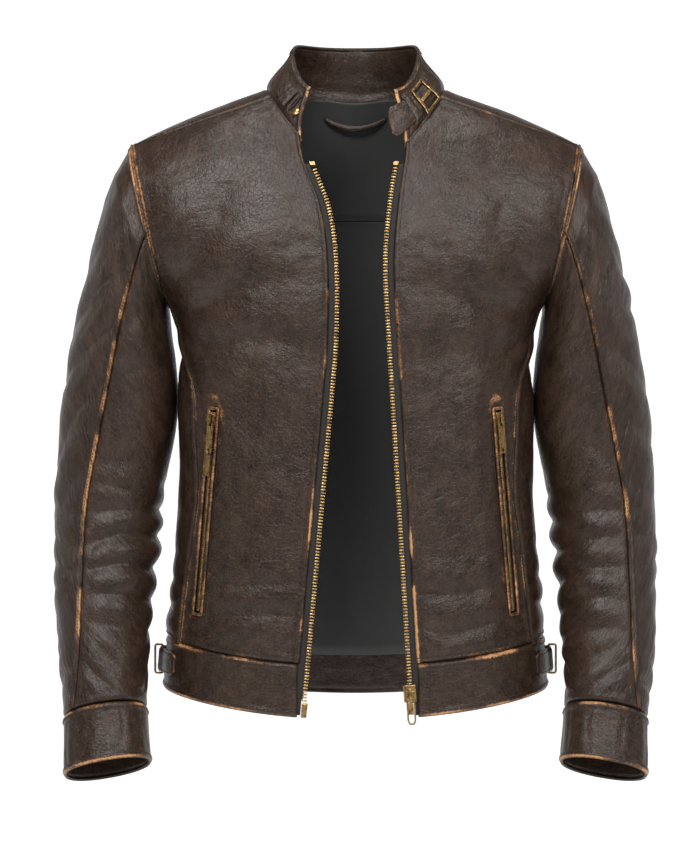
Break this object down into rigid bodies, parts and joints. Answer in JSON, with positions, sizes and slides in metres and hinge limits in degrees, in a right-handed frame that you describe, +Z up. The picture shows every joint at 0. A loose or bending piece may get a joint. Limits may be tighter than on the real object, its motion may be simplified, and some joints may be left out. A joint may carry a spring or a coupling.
{
  "type": "leather riding jacket",
  "caption": "Short stand-collar leather riding jacket worn open, with zip front, zip pockets, strap collar, banded hem and cuffs.",
  "frame": {"origin": "between the wearer's shoulders, at the level where the yoke meets the side of the neck, on the centre line", "axes": "+Z up, -Y to the front of the jacket, +X to the wearer's left"},
  "size_m": [0.63, 0.2423, 0.7718],
  "materials": {
    "leather": "dark chocolate hide, fine pebble grain, satin, rubbed tan at seams and edges",
    "worn_leather": "the same hide with stronger tan rub-off on cuffs and pocket welts",
    "lining": "smooth dark twill lining",
    "zip_tape": "black woven tape",
    "antique_brass": "antique brass, darkened in the recesses"
  },
  "bodies": {
    "root": {"back_panel": "leather", "shoulder_yoke": "leather", "back_hem_band": "leather", "collar_back": "leather", "collar_left": "leather", "collar_right": "leather", "body_lining": "lining", "hanger_loop": "leather", "left_front_panel": "leather", "left_side_panel": "leather", "left_hem_band": "leather", "left_front_facing": "leather", "left_zip_tape": "zip_tape", "left_zip_chain": "antique_brass", "left_zip_top_stop": "antique_brass", "left_pocket_bag": "lining", "left_adjuster_strap": "leather", "left_pocket_welt": "worn_leather", "left_pocket_tape": "zip_tape", "left_pocket_chain": "antique_brass", "right_front_panel": "leather", "right_side_panel": "leather", "right_hem_band": "leather", "right_front_facing": "leather", "right_zip_tape": "zip_tape", "right_zip_chain": "antique_brass", "right_zip_top_stop": "antique_brass", "right_pocket_bag": "lining", "right_adjuster_strap": "leather", "right_pocket_welt": "worn_leather", "right_pocket_tape": "zip_tape", "right_pocket_chain": "antique_brass", "zip_retainer_box": "antique_brass", "zip_insertion_pin": "antique_brass", "collar_strap": "leather", "collar_strap_keeper": "leather", "collar_loop": "leather", "collar_stud": "antique_brass"},
    "left_sleeve": {"left_top_sleeve": "leather", "left_under_sleeve": "leather", "left_cuff": "worn_leather", "left_sleeve_lining": "lining"},
    "left_pocket_slider_body": {"left_pocket_slider": "antique_brass"},
    "left_pocket_pull_body": {"left_pocket_pull": "antique_brass"},
    "left_adjuster_ring_body": {"left_adjuster_ring": "antique_brass"},
    "right_sleeve": {"right_top_sleeve": "leather", "right_under_sleeve": "leather", "right_cuff": "worn_leather", "right_sleeve_lining": "lining"},
    "right_pocket_slider_body": {"right_pocket_slider": "antique_brass"},
    "right_pocket_pull_body": {"right_pocket_pull": "antique_brass"},
    "right_pocket_leaf_body": {"right_pocket_leaf": "antique_brass"},
    "right_adjuster_ring_body": {"right_adjuster_ring": "antique_brass"},
    "zip_slider_body": {"zip_slider": "antique_brass"},
    "zip_pull_body": {"zip_pull": "antique_brass"},
    "collar_buckle_body": {"collar_buckle": "antique_brass"},
    "collar_prong_body": {"collar_prong": "antique_brass"}
  },
  "joints": [
    {"name": "left_shoulder_swing", "type": "hinge", "parent": "root", "child": "left_sleeve", "pos_m": [0.233, 0, -0.042], "axis": [0, -1, 0], "range_deg": [0, 60]},
    {"name": "left_pocket_slide", "type": "slide", "parent": "root", "child": "left_pocket_slider_body", "axis": [0.0834, 0.0349, -0.9959], "range_m": [0, 0.185]},
    {"name": "left_pocket_pull_hinge", "type": "hinge", "parent": "left_pocket_slider_body", "child": "left_pocket_pull_body", "pos_m": [0.14597, -0.08725, -0.32522], "axis": [-0.7818, -0.6174, -0.0871], "range_deg": [0, 150]},
    {"name": "left_adjuster_ring_hinge", "type": "hinge", "parent": "root", "child": "left_adjuster_ring_body", "pos_m": [0.20192, 0, -0.579], "axis": [0, 0, 1], "range_deg": [-25, 25]},
    {"name": "right_shoulder_swing", "type": "hinge", "parent": "root", "child": "right_sleeve", "pos_m": [-0.233, 0, -0.042], "axis": [0, 1, 0], "range_deg": [0, 60]},
    {"name": "right_pocket_slide", "type": "slide", "parent": "root", "child": "right_pocket_slider_body", "axis": [-0.0834, 0.0349, -0.9959], "range_m": [0, 0.185]},
    {"name": "right_pocket_pull_hinge", "type": "hinge", "parent": "right_pocket_slider_body", "child": "right_pocket_pull_body", "pos_m": [-0.14597, -0.08725, -0.32522], "axis": [-0.7818, 0.6174, 0.0871], "range_deg": [0, 150]},
    {"name": "right_pocket_leaf_hinge", "type": "hinge", "parent": "right_pocket_pull_body", "child": "right_pocket_leaf_body", "pos_m": [-0.14902, -0.08597, -0.36162], "axis": [-0.7818, 0.6174, 0.0871], "range_deg": [0, 80]},
    {"name": "right_adjuster_ring_hinge", "type": "hinge", "parent": "root", "child": "right_adjuster_ring_body", "pos_m": [-0.20192, 0, -0.579], "axis": [0, 0, 1], "range_deg": [-25, 25]},
    {"name": "main_zip_slide", "type": "slide", "parent": "root", "child": "zip_slider_body", "axis": [-0.0607, -0.0035, 0.9982], "range_m": [0, 0.385]},
    {"name": "main_pull_hinge", "type": "hinge", "parent": "zip_slider_body", "child": "zip_pull_body", "pos_m": [0.05417, -0.11638, -0.59984], "axis": [-0.9947, -0.0834, -0.0608], "range_deg": [0, 150]},
    {"name": "collar_buckle_hinge", "type": "hinge", "parent": "root", "child": "collar_buckle_body", "pos_m": [0.07718, -0.045, 0.01215], "axis": [-0.6896, 0.2642, 0.6743], "range_deg": [0, 50]},
    {"name": "collar_prong_hinge", "type": "hinge", "parent": "collar_buckle_body", "child": "collar_prong_body", "pos_m": [0.07718, -0.045, 0.01215], "axis": [-0.6896, 0.2642, 0.6743], "range_deg": [0, 90]}
  ]
}
